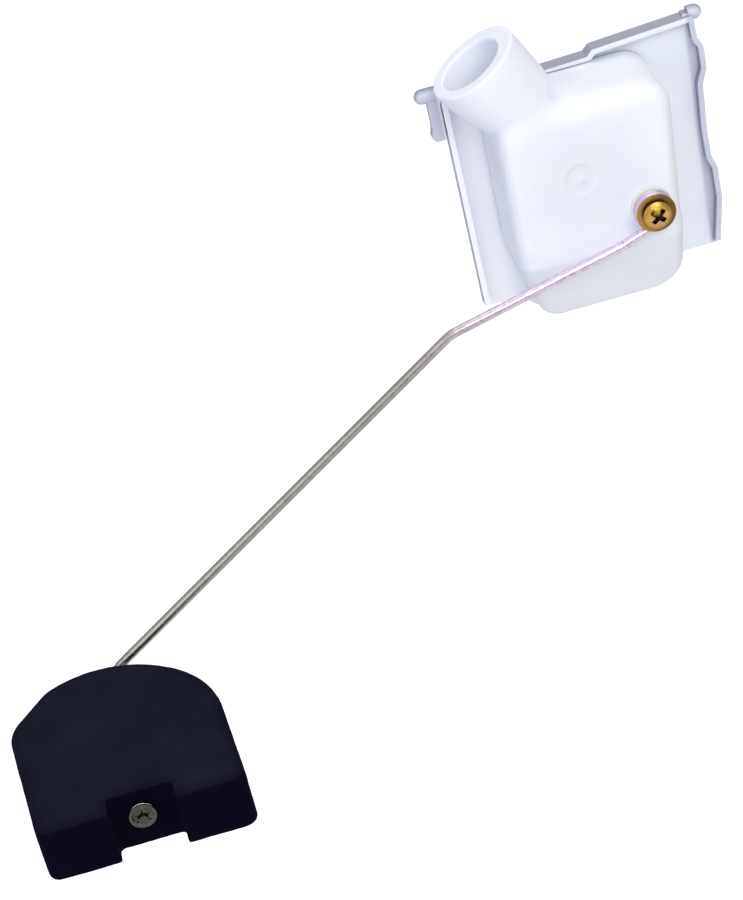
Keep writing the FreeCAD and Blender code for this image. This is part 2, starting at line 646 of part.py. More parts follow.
def plunger():
    """A stem with a slotted crosshead below and a cup for the washer on top."""
    pin = crank_pin_in_flow()
    most_offset = CRANK_RADIUS * (1 - math.cos(math.radians(2 * REST_BEFORE_MID_DEG)))
    slot_middle = most_offset / 2
    half = Vector(CROSSHEAD_WIDTH / 2, CROSSHEAD_DEPTH / 2, CROSSHEAD_HEIGHT / 2)
    centre = Vector(slot_middle, 0, pin.z)
    head = box_between(centre - half, centre + half)
    upright_edges = [e for e in head.Edges if abs(e.tangentAt(e.FirstParameter).y) > 0.9]
    head = head.makeFillet(1.5, upright_edges)
    slot_reach = most_offset / 2 + 0.25
    slot_radius = CRANK_PIN_RADIUS + SLOT_CLEARANCE
    slot = box_between(
        centre + Vector(-slot_reach, -10, -slot_radius), centre + Vector(slot_reach, 10, slot_radius)
    )
    ends = [
        cylinder(slot_radius, 20, centre + Vector(side * slot_reach, 10, 0)) for side in (1, -1)
    ]
    cup_floor = WASHER_FACE - WASHER_THICKNESS
    cup_foot = cup_floor - DISC_WEB
    stem = cylinder(STEM_RADIUS, cup_foot - pin.z - 3, Vector(0, 0, pin.z + 3), Z_AXIS)
    cup_height = WASHER_FACE - WASHER_PROUD - cup_foot
    cup = cylinder(DISC_RADIUS, cup_height, Vector(0, 0, cup_foot), Z_AXIS)
    recess = cylinder(WASHER_RADIUS + FIT_GAP, 10, Vector(0, 0, cup_floor), Z_AXIS)
    pilot = cylinder(WASHER_SCREW_RADIUS + FIT_GAP, 9, Vector(0, 0, cup_floor - 8), Z_AXIS)
    return placed(head.fuse([stem, cup]).cut([slot, recess, pilot] + ends), FLOW)


def seat_washer():
    foot = Vector(0, 0, WASHER_FACE - WASHER_THICKNESS)
    return placed(ring(WASHER_RADIUS, WASHER_SCREW_RADIUS + FIT_GAP, WASHER_THICKNESS, foot, Z_AXIS), FLOW)


def washer_screw():
    head_height = 1.3
    head = cylinder(2.5, head_height, Vector(0, 0, WASHER_FACE), Z_AXIS)
    shank_length = WASHER_THICKNESS + 7.5
    shank = cylinder(WASHER_SCREW_RADIUS, shank_length, Vector(0, 0, WASHER_FACE - shank_length), Z_AXIS)
    slot = box_between(
        Vector(-3, -0.35, WASHER_FACE + head_height - 0.6), Vector(3, 0.35, WASHER_FACE + head_height)
    )
    return placed(head.fuse(shank).cut(slot), FLOW)


# --- arm: rod and its screw ---
def arm_screw():
    """A domed screw with a cross recess."""
    seat_y = ROD_PLANE_Y - ROD_RADIUS - ARM_WASHER_THICKNESS - LOCK_WASHER_THICKNESS
    edge_height = 0.6
    top_y = seat_y - ARM_SCREW_HEAD_HEIGHT
    dome_rise = ARM_SCREW_HEAD_HEIGHT - edge_height
    rim = Vector(ARM_SCREW_HEAD_RADIUS, seat_y - edge_height, 0)
    halfway = Vector(ARM_SCREW_HEAD_RADIUS * 0.6, top_y + dome_rise * 0.4, 0)
    profile = Part.Wire([
        Part.makeLine(Vector(0, seat_y, 0), Vector(ARM_SCREW_HEAD_RADIUS, seat_y, 0)),
        Part.makeLine(Vector(ARM_SCREW_HEAD_RADIUS, seat_y, 0), rim),
        Part.Arc(rim, halfway, Vector(0, top_y, 0)).toShape(),
        Part.makeLine(Vector(0, top_y, 0), Vector(0, seat_y, 0)),
    ])
    head = Part.Face(profile).revolve(Vector(), Y_AXIS, 360)
    shank_top = ROD_PLANE_Y - ROD_RADIUS - 0.1 + ARM_SCREW_LENGTH - 0.5
    shank = cylinder(ARM_SCREW_RADIUS, shank_top - seat_y, Vector(0, shank_top, 0))
    recess = cross_recess(
        Vector(0, top_y - 0.5, 0), ARM_SCREW_RECESS_WIDTH, ARM_SCREW_RECESS_SLOT, ARM_SCREW_RECESS_DEPTH
    )
    recess.rotate(Vector(), Y_AXIS, 45.0)
    return head.fuse(shank).cut(recess)


def arm_washer():
    base = Vector(0, ROD_PLANE_Y - ROD_RADIUS, 0)
    return ring(ARM_WASHER_RADIUS, ARM_SCREW_RADIUS + 0.1, ARM_WASHER_THICKNESS, base)


def lock_washer():
    """A split spring washer."""
    base = Vector(0, ROD_PLANE_Y - ROD_RADIUS - ARM_WASHER_THICKNESS, 0)
    coil = ring(2.9, ARM_SCREW_RADIUS + 0.1, LOCK_WASHER_THICKNESS, base)
    split = box_between(Vector(0, base.y - 3, -0.25), Vector(5, base.y + 3, 0.25))
    return coil.cut(split)


def rod_bend(before, corner, after, radius):
    """The points where a bend starts, passes its middle and ends."""
    to_before = (before - corner).normalize()
    to_after = (after - corner).normalize()
    half = to_before.getAngle(to_after) / 2
    reach = radius / math.tan(half)
    inwards = (to_before + to_after).normalize()
    middle = corner + inwards * (radius / math.sin(half) - radius)
    return corner + to_before * reach, middle, corner + to_after * reach


def on_eye(angle):
    return Vector(EYE_RADIUS * math.cos(angle), ROD_PLANE_Y, EYE_RADIUS * math.sin(angle))


def tangent_angle(outside, radius):
    """Where, on a circle round the pivot, the tangent from a point to its left touches it."""
    towards = math.atan2(outside.z, outside.x) % (2 * math.pi)
    return towards + math.acos(radius / math.hypot(outside.x, outside.z))


def rod_path():
    """The rod's centre line: an open eye, a slight set, a bend, and an end turned into the float."""
    bend = Vector(ROD_BEND[0], ROD_PLANE_Y, ROD_BEND[1])
    corner = Vector(FLOAT_X, ROD_PLANE_Y, FLOAT_AXIS_Z)
    tip = Vector(FLOAT_X, ROD_END_Y, FLOAT_AXIS_Z)
    line_angle = tangent_angle(bend, ROD_LINE_OFFSET)
    nearest = Vector(math.cos(line_angle), 0, math.sin(line_angle)) * ROD_LINE_OFFSET
    nearest.y = ROD_PLANE_Y
    set_corner = nearest + (bend - nearest).normalize() * ROD_SET_REACH
    leaving_angle = tangent_angle(set_corner, EYE_RADIUS)
    leaving = on_eye(leaving_angle)
    sweep = math.radians(EYE_SWEEP_DEG)
    slight_set = rod_bend(leaving, set_corner, bend, ROD_SET_RADIUS)
    first = rod_bend(set_corner, bend, corner, ROD_BEND_RADIUS)
    second = rod_bend(bend, corner, tip, ROD_END_BEND_RADIUS)
    return Part.Wire([
        Part.Arc(on_eye(leaving_angle + sweep), on_eye(leaving_angle + sweep / 2), leaving).toShape(),
        Part.makeLine(leaving, slight_set[0]),
        Part.Arc(*slight_set).toShape(),
        Part.makeLine(slight_set[2], first[0]),
        Part.Arc(*first).toShape(),
        Part.makeLine(first[2], second[0]),
        Part.Arc(*second).toShape(),
        Part.makeLine(second[2], tip),
    ])


def float_rod():
    path = rod_path()
    start = path.Edges[0]
    heading = start.tangentAt(start.FirstParameter)
    profile = Part.Wire(Part.makeCircle(ROD_RADIUS, start.valueAt(start.FirstParameter), heading))
    rod = path.makePipeShell([profile], True, False)
    return Part.Solid(Part.Shell(rod.Faces)) if rod.ShapeType != "Solid" else rod


def float_back_collar():
    """A push-on collar that stops the float from sliding back along the rod."""
    length = 1.5
    base = Vector(FLOAT_X, FLOAT_BACK_Y + length + 0.5, FLOAT_AXIS_Z)
    return ring(3.0, ROD_RADIUS + 0.01, length, base)


def float_star_washer():
    """A dished push-on washer, cut into teeth round its hole."""
    back_y = FLOAT_FRONT_Y + FLOAT_CHANNEL_DEPTH - SLEEVE_FLANGE - 0.2
    base = Vector(FLOAT_X, back_y, FLOAT_AXIS_Z)
    dish_foot = STAR_WASHER_RADIUS - STAR_WASHER_RIM + 0.2
    dish_top = 1.6
    rim = ring(STAR_WASHER_RADIUS, STAR_WASHER_RADIUS - STAR_WASHER_RIM, STAR_WASHER_THICKNESS, base)
    front = base + TOWARDS_FRONT * STAR_WASHER_THICKNESS
    outside = Part.makeCone(dish_foot, dish_top, STAR_WASHER_DISH, front, TOWARDS_FRONT)
    inside = Part.makeCone(dish_foot, dish_top, STAR_WASHER_DISH, base, TOWARDS_FRONT)
    dome = cylinder(dish_foot, STAR_WASHER_THICKNESS, base).fuse(outside).cut(inside)
    tunnel = cylinder(ROD_RADIUS + 0.01, 6, base + TOWARDS_FRONT * -2)
    slot_end = FLOAT_AXIS_Z + (dish_foot + dish_top) / 2
    slots = []
    for i in range(STAR_WASHER_TEETH):
        slot = box_between(
            Vector(FLOAT_X - 0.2, back_y - 3, FLOAT_AXIS_Z), Vector(FLOAT_X + 0.2, back_y + 1, slot_end)
        )
        slot.rotate(base, Y_AXIS, 360.0 / STAR_WASHER_TEETH * i)
        slots.append(slot)
    return rim.fuse(dome).cut([tunnel] + slots).removeSplitter()


# --- float ---
def float_block():
    """A D-shaped block with a clipped left shoulder and a channel down its front."""
    height = FLOAT_TOP_Z - FLOAT_BOTTOM_Z
    corners = [(FLOAT_X + x, y, radius) for x, y, radius in FLOAT_PLAN]
    block = slab(outline(corners, plan_view(FLOAT_BOTTOM_Z)), Z_AXIS * height)
    edge_radii = {FLOAT_TOP_Z: FLOAT_TOP_EDGE_RADIUS, FLOAT_BOTTOM_Z: FLOAT_BOTTOM_EDGE_RADIUS}
    for level, radius in edge_radii.items():
        block = block.makeFillet(radius, [e for e in block.Edges if lies_level(e, level)])
    middle_x = FLOAT_X + FLOAT_CHANNEL_OFFSET
    half = FLOAT_CHANNEL_WIDTH / 2
    floor_y = FLOAT_FRONT_Y + FLOAT_CHANNEL_DEPTH
    channel_corners = [
        (middle_x - half, FLOAT_FRONT_Y - 5, 0),
        (middle_x - half, floor_y, 1.5),
        (middle_x + half, floor_y, 1.5),
        (middle_x + half, FLOAT_FRONT_Y - 5, 0),
    ]
    channel = slab(outline(channel_corners, plan_view(FLOAT_BOTTOM_Z - 1)), Z_AXIS * (height + 2))
    bore = cylinder(FLOAT_SLEEVE_RADIUS, 80, Vector(FLOAT_X, -20, FLOAT_AXIS_Z))
    return block.cut([channel, bore])


def lies_level(edge, z):
    box = edge.BoundBox
    return abs(box.ZMin - z) < 0.01 and abs(box.ZMax - z) < 0.01


def float_sleeve():
    """The liner of the float's bore, with a flange on the channel's floor."""
    floor_y = FLOAT_FRONT_Y + FLOAT_CHANNEL_DEPTH
    back = Vector(FLOAT_X, FLOAT_BACK_Y - 0.1, FLOAT_AXIS_Z)
    tube = cylinder(FLOAT_SLEEVE_RADIUS - FIT_GAP, back.y - floor_y + SLEEVE_FLANGE, back)
    flange = cylinder(3.1, SLEEVE_FLANGE, Vector(FLOAT_X, floor_y, FLOAT_AXIS_Z))
    bore = cylinder(ROD_RADIUS + 0.08, 80, Vector(FLOAT_X, -20, FLOAT_AXIS_Z))
    return tube.fuse(flange).cut(bore).removeSplitter()


NODES = [
    mounting_plate, valve_body, body_gasket, body_screws,
    seat_ring, seat_oring, valve_cage,
    spindle_bush, spindle_oring, rear_bush,
    spindle, crank, crank_roll_pin, crank_pin, crank_clip,
    plunger, seat_washer, washer_screw,
    float_rod, arm_screw, arm_washer, lock_washer,
    float_back_collar, float_star_washer,
    float_block, float_sleeve,
]

os.makedirs("parts", exist_ok=True)
for make in NODES:
    make().exportStep(f"parts/{make.__name__}.step")
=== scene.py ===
import json
import math

import bmesh
import bpy
import numpy as np
from mathutils import Matrix, Vector


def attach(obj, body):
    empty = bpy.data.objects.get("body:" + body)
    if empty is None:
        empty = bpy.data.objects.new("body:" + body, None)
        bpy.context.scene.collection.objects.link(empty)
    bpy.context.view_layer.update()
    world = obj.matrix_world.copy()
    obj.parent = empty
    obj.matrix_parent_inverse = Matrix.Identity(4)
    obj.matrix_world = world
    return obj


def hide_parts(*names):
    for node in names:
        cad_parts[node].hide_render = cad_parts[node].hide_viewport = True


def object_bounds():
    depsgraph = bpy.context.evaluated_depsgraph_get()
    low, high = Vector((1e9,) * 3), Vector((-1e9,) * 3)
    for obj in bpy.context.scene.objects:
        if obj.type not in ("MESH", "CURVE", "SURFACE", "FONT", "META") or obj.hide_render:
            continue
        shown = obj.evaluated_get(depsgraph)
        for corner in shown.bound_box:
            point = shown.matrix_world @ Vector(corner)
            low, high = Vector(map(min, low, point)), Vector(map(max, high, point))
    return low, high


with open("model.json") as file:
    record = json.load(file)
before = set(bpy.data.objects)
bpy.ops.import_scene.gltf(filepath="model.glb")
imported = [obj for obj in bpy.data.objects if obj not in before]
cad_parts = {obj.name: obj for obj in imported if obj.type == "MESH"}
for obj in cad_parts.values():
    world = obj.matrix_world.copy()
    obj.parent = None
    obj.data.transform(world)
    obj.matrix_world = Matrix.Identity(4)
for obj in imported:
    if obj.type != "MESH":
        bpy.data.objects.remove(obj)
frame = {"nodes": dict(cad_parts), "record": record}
CAD_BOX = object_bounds()
NODES = frame["nodes"]
MM = 0.001
JOIN_DISTANCE = 0.01 * MM


# ---------------------------------------------------------------- node helpers
class Tree:
    """A short way to write a material's node tree. Sizes in it are millimetres."""

    def __init__(self, name):
        self.material = bpy.data.materials.new(name)
        self.material.use_nodes = True
        self.nodes = self.material.node_tree.nodes
        self.links = self.material.node_tree.links
        self.nodes.clear()
        self.output = self.nodes.new("ShaderNodeOutputMaterial")
        place = self.nodes.new("ShaderNodeTexCoord")
        self.mm = self.math_vector("SCALE", place.outputs["Object"], scale=1000.0)

    def put(self, socket, value):
        if isinstance(value, bpy.types.NodeSocket):
            self.links.new(value, socket)
        else:
            socket.default_value = value

    def math_vector(self, operation, a, b=None, scale=None):
        node = self.nodes.new("ShaderNodeVectorMath")
        node.operation = operation
        self.put(node.inputs[0], a)
        if b is not None:
            self.put(node.inputs[1], b)
        if scale is not None:
            self.put(node.inputs["Scale"], scale)
        return node.outputs["Vector"]

    def length(self, a):
        node = self.nodes.new("ShaderNodeVectorMath")
        node.operation = "LENGTH"
        self.put(node.inputs[0], a)
        return node.outputs["Value"]

    def calc(self, operation, a, b=0.0):
        node = self.nodes.new("ShaderNodeMath")
        node.operation = operation
        self.put(node.inputs[0], a)
        self.put(node.inputs[1], b)
        return node.outputs[0]

    def times(self, a, b):
        return self.calc("MULTIPLY", a, b)

    def larger(self, a, b):
        return self.calc("MAXIMUM", a, b)

    def inverse(self, a):
        return self.calc("SUBTRACT", 1.0, a)

    def noise(self, scale, detail=3.0, roughness=0.55, vector=None, distortion=0.0):
        node = self.nodes.new("ShaderNodeTexNoise")
        self.put(node.inputs["Vector"], vector or self.mm)
        node.inputs["Scale"].default_value = scale
        node.inputs["Detail"].default_value = detail
        node.inputs["Roughness"].default_value = roughness
        node.inputs["Distortion"].default_value = distortion
        return node.outputs["Fac"]

    def cells(self, scale):
        node = self.nodes.new("ShaderNodeTexVoronoi")
        self.put(node.inputs["Vector"], self.mm)
        node.inputs["Scale"].default_value = scale
        return node.outputs["Distance"]

    def stretched(self, x, y, z):
        return self.math_vector("MULTIPLY", self.mm, (x, y, z))

    def part(self, axis):
        node = self.nodes.new("ShaderNodeSeparateXYZ")
        self.put(node.inputs[0], self.mm)
        return node.outputs[axis]

    def ramp(self, factor, stops):
        node = self.nodes.new("ShaderNodeValToRGB")
        self.put(node.inputs["Fac"], factor)
        elements = node.color_ramp.elements
        while len(elements) < len(stops):
            elements.new(0.5)
        for element, (position, colour) in zip(elements, stops):
            element.position = position
            if isinstance(colour, (int, float)):
                colour = (colour, colour, colour)
            element.color = (*colour, 1.0)
        return node.outputs["Color"]

    def mix(self, factor, a, b):
        node = self.nodes.new("ShaderNodeMix")
        node.data_type = "RGBA"
        self.put(node.inputs["Factor"], factor)
        for index, value in ((6, a), (7, b)):
            if isinstance(value, tuple) and len(value) == 3:
                value = (*value, 1.0)
            self.put(node.inputs[index], value)
        return node.outputs[2]

    def bump(self, height, strength, distance, normal=None):
        node = self.nodes.new("ShaderNodeBump")
        self.put(node.inputs["Height"], height)
        node.inputs["Strength"].default_value = strength
        node.inputs["Distance"].default_value = distance
        if normal is not None:
            self.put(node.inputs["Normal"], normal)
        return node.outputs["Normal"]

    def normal_part(self, axis):
        """How far the surface faces along an axis, from -1 to 1."""
        geometry = self.nodes.new("ShaderNodeNewGeometry")
        node = self.nodes.new("ShaderNodeSeparateXYZ")
        self.put(node.inputs[0], geometry.outputs["Normal"])
        return node.outputs[axis]

    def faces(self, direction, start, full):
        """1 where the surface faces "+X", "-Y" or the like by full or more, 0 below start."""
        part = self.normal_part(direction[1])
        if direction[0] == "-":
            part = self.times(part, -1.0)
        return self.ramp(part, [(start, 0.0), (full, 1.0)])

    def patch(self, centre, radius, fade):
        """1 near a centre (mm); falls to 0 between the shares fade[0] and fade[1] of the radius."""
        away = self.calc("DIVIDE", self.length(self.math_vector("SUBTRACT", self.mm, centre)), radius)
        return self.ramp(away, [(fade[0], 1.0), (fade[1], 0.0)])

    def beyond(self, place, unit, start, full):
        """0 up to start and 1 from full on, both as shares of the unit; place and unit are in mm."""
        return self.ramp(self.calc("DIVIDE", place, unit), [(start, 0.0), (full, 1.0)])

    def seen_directly(self):
        """1 where the camera sees the surface, 0 where it only lights other surfaces."""
        return self.nodes.new("ShaderNodeLightPath").outputs["Is Camera Ray"]

    def hollow(self, distance):
        """Bright in hollows that are about distance (mm) across."""
        node = self.nodes.new("ShaderNodeAmbientOcclusion")
        node.samples = 8
        node.inputs["Distance"].default_value = distance * MM
        return self.inverse(node.outputs["AO"])

    def edge_wear(self, radius):
        """Bright on edges within radius (mm), from a rounded normal against the true one."""
        bevel = self.nodes.new("ShaderNodeBevel")
        bevel.samples = 4
        bevel.inputs["Radius"].default_value = radius * MM
        geometry = self.nodes.new("ShaderNodeNewGeometry")
        node = self.nodes.new("ShaderNodeVectorMath")
        node.operation = "DOT_PRODUCT"
        self.put(node.inputs[0], bevel.outputs["Normal"])
        self.put(node.inputs[1], geometry.outputs["Normal"])
        return self.inverse(node.outputs["Value"])

    def principled(self, **values):
        node = self.nodes.new("ShaderNodeBsdfPrincipled")
        for key, value in values.items():
            name = key.replace("_", " ")
            if isinstance(value, tuple) and len(value) == 3 and name != "Subsurface Radius":
                value = (*value, 1.0)
            self.put(node.inputs[name], value)
        return node.outputs["BSDF"]

    def surface(self, shader):
        self.links.new(shader, self.output.inputs["Surface"])
        return self.material


# ---------------------------------------------------------------- materials
# Places on the valve that the materials shade, in mm.
GATE_MARK = (-16.0, -25.0, 12.0)
SPIGOT_CROOK = (-14.0, -8.0, 33.0)
UNDER_SPIGOT = (-34.3, -14.0, 19.0)
# How far the plate's right edge leans out, for each mm of height.
RIGHT_EDGE_LEAN = 0.034


def translucent_plate():
    """Clear plastic with a lavender cast, cloudy inside; painted shade darkens its side faces, right
    rim, knob and finger, and painted light lifts its front left strip.
    """
    t = Tree("clear_plastic_moulded")
    cloud = t.noise(0.07, 3.0, 0.5)
    flow = t.noise(0.12, 3.0, 0.5, t.stretched(1.0, 1.0, 0.4))
    base = t.ramp(cloud, [(0.3, (0.76, 0.80, 0.91)), (0.7, (0.82, 0.86, 0.95))])
    base = t.mix(t.times(flow, 0.3), base, (0.88, 0.91, 0.98))
    # the knob and the latch finger stand out past the plate's left edge; they get painted shade and no
    # painted light
    ears = t.beyond(t.part("X"), -60.0, 0.722, 0.735)
    # painted light: the front of the plate's left strip is lifted towards a pale blue white
    left_strip_painted_light = t.times(t.beyond(t.part("X"), -50.0, 0.60, 0.72), t.faces("-Y", 0.4, 0.8))
    left_strip_painted_light = t.times(left_strip_painted_light, t.inverse(ears))
    base = t.mix(t.times(left_strip_painted_light, 0.85), base, (0.95, 0.96, 1.0))
    # painted shade: faces turned away from front and back go dark, and so do the right rim and the knob
    # and finger
    broad = t.calc("ABSOLUTE", t.normal_part("Y"))
    edge = t.ramp(broad, [(0.25, 1.0), (0.85, 0.0)])
    upright_x = t.calc("SUBTRACT", t.part("X"), t.times(t.part("Z"), RIGHT_EDGE_LEAN))
    right_rim_painted_shade = t.beyond(upright_x, 40.0, 0.472, 0.495)
    colour = t.mix(t.times(t.larger(right_rim_painted_shade, ears), 0.62), base, (0.44, 0.45, 0.56))
    colour = t.mix(t.times(edge, 0.85), colour, (0.22, 0.22, 0.30))
    scuff = t.noise(0.25, 3.0, 0.5, t.stretched(1.0, 1.0, 0.4))
    return t.surface(t.principled(
        Base_Color=colour,
        # painted light: a faint blue glow on the front of the left strip, away from its side faces
        Emission_Color=(0.55, 0.65, 1.0),
        Emission_Strength=t.times(t.times(left_strip_painted_light, t.inverse(edge)), 0.06),
        Roughness=t.ramp(scuff, [(0.35, 0.28), (0.75, 0.36)]),
        Subsurface_Weight=0.35,
        Subsurface_Scale=0.004,
        Subsurface_Radius=(0.9, 0.95, 1.2),
        Normal=t.bump(flow, 0.06, 0.0004),
    ))


def white_plastic():
    """Milky white moulded plastic with faint flow marks; painted shade by which way it faces and round
    the spigot, and painted light with a faint glow in its hollows.
    """
    t = Tree("white_plastic_moulded")
    cloud = t.noise(0.05, 3.0, 0.5)
    flow = t.noise(0.5, 5.0, 0.6, t.stretched(0.5, 0.5, 1.6), 0.6)
    base = t.ramp(cloud, [(0.3, (0.81, 0.84, 0.92)), (0.7, (0.88, 0.90, 0.96))])
    base = t.mix(t.times(flow, 0.2), base, (0.91, 0.91, 0.95))
    grime = t.ramp(t.noise(0.9, 6.0, 0.7), [(0.60, 0.0), (0.85, 1.0)])
    colour = t.mix(t.times(grime, 0.12), base, (0.60, 0.58, 0.57))
    # painted shade by which way a face turns: cool to the left, warm to the right below the spigot,
    # grey facing down
    colour = t.mix(t.times(t.faces("-X", 0.35, 0.95), 0.36), colour, (0.56, 0.62, 0.88))
    below_spigot = t.ramp(t.calc("DIVIDE", t.part("Z"), 40.0), [(0.60, 1.0), (0.78, 0.2)])
    right_faces_painted_shade = t.times(t.faces("+X", 0.25, 0.8), below_spigot)
    colour = t.mix(t.times(right_faces_painted_shade, 0.40), colour, (0.66, 0.61, 0.58))
    colour = t.mix(t.times(t.faces("-Z", 0.15, 0.8), 0.15), colour, (0.58, 0.62, 0.66))
    # painted shade on a faint sink round the gate mark, on the places round and under the spigot, and
    # on faces turned up
    crook = t.patch(SPIGOT_CROOK, 12.0, (0.20, 0.95))
    shade = t.larger(t.times(t.patch(GATE_MARK, 26.0, (0.12, 0.80)), 0.36), t.times(crook, 0.55))
    shade = t.larger(shade, t.times(t.patch(UNDER_SPIGOT, 14.0, (0.20, 0.95)), 0.42))
    shade = t.larger(shade, t.times(t.faces("+Z", 0.3, 0.9), 0.30))
    colour = t.mix(shade, colour, (0.60, 0.62, 0.68))
    # painted light: hollows are lifted towards a pale blue white and glow faintly, except in the crook
    # by the spigot
    hollow = t.hollow(6.0)
    colour = t.mix(t.times(hollow, 0.45), colour, (0.70, 0.78, 1.0))
    return t.surface(t.principled(
        Base_Color=colour,
        # painted light: a faint blue glow in the hollows, kept out of the crook
        Emission_Color=(0.75, 0.82, 1.0),
        Emission_Strength=t.times(t.times(hollow, 0.13), t.inverse(crook)),
        Roughness=t.ramp(flow, [(0.3, 0.34), (0.7, 0.46)]),
        Subsurface_Weight=0.25,
        Subsurface_Scale=0.0016,
        Subsurface_Radius=(0.9, 0.95, 1.1),
        Specular_IOR_Level=0.4,
        Coat_Weight=0.06,
        Normal=t.bump(flow, 0.12, 0.0005),
    ))


def acetal():
    """Off-white acetal with fine turning rings."""
    t = Tree("acetal_turned")
    grain = t.noise(2.5, 5.0, 0.6)
    colour = t.ramp(grain, [(0.3, (0.72, 0.72, 0.70)), (0.7, (0.82, 0.82, 0.79))])
    rings = t.noise(3.0, 2.0, 0.5, t.stretched(0.2, 4.0, 0.2))
    return t.surface(t.principled(
        Base_Color=colour,
        Roughness=t.ramp(grain, [(0.3, 0.38), (0.7, 0.5)]),
        Subsurface_Weight=0.3,
        Subsurface_Scale=0.001,
        Normal=t.bump(rings, 0.25, 0.0001),
    ))


def rubber(name, dark, light):
    """Matte rubber with a fine grain and some dust."""
    t = Tree(name)
    grain = t.noise(3.5, 6.0, 0.65)
    pale_patches = t.ramp(t.noise(0.8, 4.0, 0.6), [(0.5, 0.0), (0.8, 1.0)])
    colour = t.mix(t.times(pale_patches, 0.4), t.ramp(grain, [(0.3, dark), (0.7, light)]), light)
    return t.surface(t.principled(
        Base_Color=colour,
        Roughness=t.ramp(grain, [(0.3, 0.55), (0.7, 0.75)]),
        Normal=t.bump(grain, 0.4, 0.00015),
    ))


def brass():
    """Turned brass: rings round the pivot axis, warm tarnish in patches and bright edges; painted light
    and shade on the washer and screw crown, and painted shade in the recess.
    """
    t = Tree("brass_turned")
    radius = t.length(t.stretched(1.0, 0.0, 1.0))
    ring_noise = t.nodes.new("ShaderNodeTexNoise")
    ring_noise.noise_dimensions = "1D"
    t.put(ring_noise.inputs["W"], radius)
    ring_noise.inputs["Scale"].default_value = 7.0
    ring_noise.inputs["Detail"].default_value = 3.0
    rings = ring_noise.outputs["Fac"]
    tarnish = t.ramp(t.noise(0.9, 5.0, 0.65), [(0.42, 0.0), (0.72, 1.0)])
    # painted light and shade: the washer darker at its rim and to the right, the screw's crown bright
    # above and darker below
    across = t.calc("ADD", t.calc("DIVIDE", t.part("X"), 10.0), 0.5)
    rim_painted_shade = t.mix(t.ramp(across, [(0.1, 0.0), (0.8, 1.0)]), (0.50, 0.29, 0.08), (0.19, 0.105, 0.03))
    height = t.calc("ADD", t.calc("DIVIDE", t.part("Z"), 8.0), 0.5)
    crown = t.mix(t.ramp(height, [(0.25, 0.7), (0.60, 0.0)]), (0.93, 0.60, 0.11), (0.60, 0.34, 0.19))
    lit_and_shaded_metal = t.mix(t.beyond(radius, 6.0, 0.40, 0.66), crown, rim_painted_shade)
    colour = t.mix(t.times(tarnish, 0.6), lit_and_shaded_metal, (0.40, 0.21, 0.06))
    colour = t.mix(t.times(t.edge_wear(0.25), 0.8), colour, (0.97, 0.80, 0.45))
    # painted shade: hollows in the middle, in the screw's cross recess, go nearly black
    in_recess = t.ramp(t.calc("DIVIDE", radius, 6.0), [(0.42, 1.0), (0.50, 0.3)])
    recess_painted_shade = t.times(t.ramp(t.hollow(1.6), [(0.14, 0.0), (0.42, 1.0)]), in_recess)
    colour = t.mix(recess_painted_shade, colour, (0.04, 0.015, 0.006))
    turned = t.bump(rings, 0.30, 0.00008)
    return t.surface(t.principled(
        Base_Color=colour,
        Metallic=1.0,
        Roughness=t.ramp(rings, [(0.3, 0.20), (0.7, 0.36)]),
        Normal=t.bump(t.noise(2.2, 4.0, 0.6), 0.25, 0.0002, turned),
    ))


def plated_brass():
    """Brass under a thin nickel plate, which has gone a little yellow in places."""
    t = Tree("brass_plated")
    thin = t.ramp(t.noise(0.6, 5.0, 0.65), [(0.45, 0.0), (0.75, 1.0)])
    colour = t.mix(t.times(thin, 0.5), (0.84, 0.82, 0.84), (0.78, 0.70, 0.55))
    turned = t.noise(4.0, 3.0, 0.5, t.stretched(0.2, 4.0, 0.2))
    return t.surface(t.principled(
        Base_Color=colour,
        Metallic=1.0,
        Roughness=t.ramp(turned, [(0.3, 0.26), (0.7, 0.40)]),
        Normal=t.bump(turned, 0.25, 0.00008),
    ))


def drawn_steel():
    """Stainless wire with fine draw lines, small scuffs and a dark tip; a painted reflection makes it
    pale and pink near the pivot.
    """
    t = Tree("stainless_drawn")
    along = t.noise(2.0, 6.0, 0.6, t.stretched(0.5, 6.0, 0.5))
    spots = t.ramp(t.noise(0.7, 5.0, 0.7), [(0.45, 0.0), (0.75, 1.0)])
    base = t.ramp(along, [(0.3, (0.34, 0.33, 0.29)), (0.7, (0.46, 0.45, 0.40))])
    # painted reflection: paler and pink towards the pivot
    near_pivot = t.ramp(t.calc("DIVIDE", t.part("X"), -100.0), [(0.35, 1.0), (0.70, 0.0)])
    base = t.mix(near_pivot, base, (0.84, 0.71, 0.86))
    colour = t.mix(t.times(spots, 0.55), base, (0.22, 0.20, 0.19))
    tip = t.beyond(t.part("Y"), -100.0, 0.86, 0.90)
    colour = t.mix(t.times(tip, 0.9), colour, (0.05, 0.045, 0.05))
    return t.surface(t.principled(
        Base_Color=colour,
        Metallic=1.0,
        Roughness=t.ramp(along, [(0.3, 0.22), (0.7, 0.40)]),
        Normal=t.bump(along, 0.25, 0.00008),
    ))


def zinc(name, dark, light, edge):
    """Zinc-plated steel, from dark to light in its grain, with its own colour on the edges and painted
    shade in its hollows.
    """
    t = Tree(name)
    grain = t.noise(3.0, 6.0, 0.7)
    colour = t.ramp(grain, [(0.3, dark), (0.7, light)])
    colour = t.mix(t.times(t.edge_wear(0.15), 0.8), colour, edge)
    # painted shade: hollows go nearly black
    colour = t.mix(t.ramp(t.hollow(1.5), [(0.3, 0.0), (0.7, 1.0)]), colour, (0.01, 0.01, 0.012))
    return t.surface(t.principled(
        Base_Color=colour,
        Metallic=1.0,
        Roughness=t.ramp(grain, [(0.3, 0.22), (0.7, 0.42)]),
        Normal=t.bump(grain, 0.2, 0.0001),
    ))


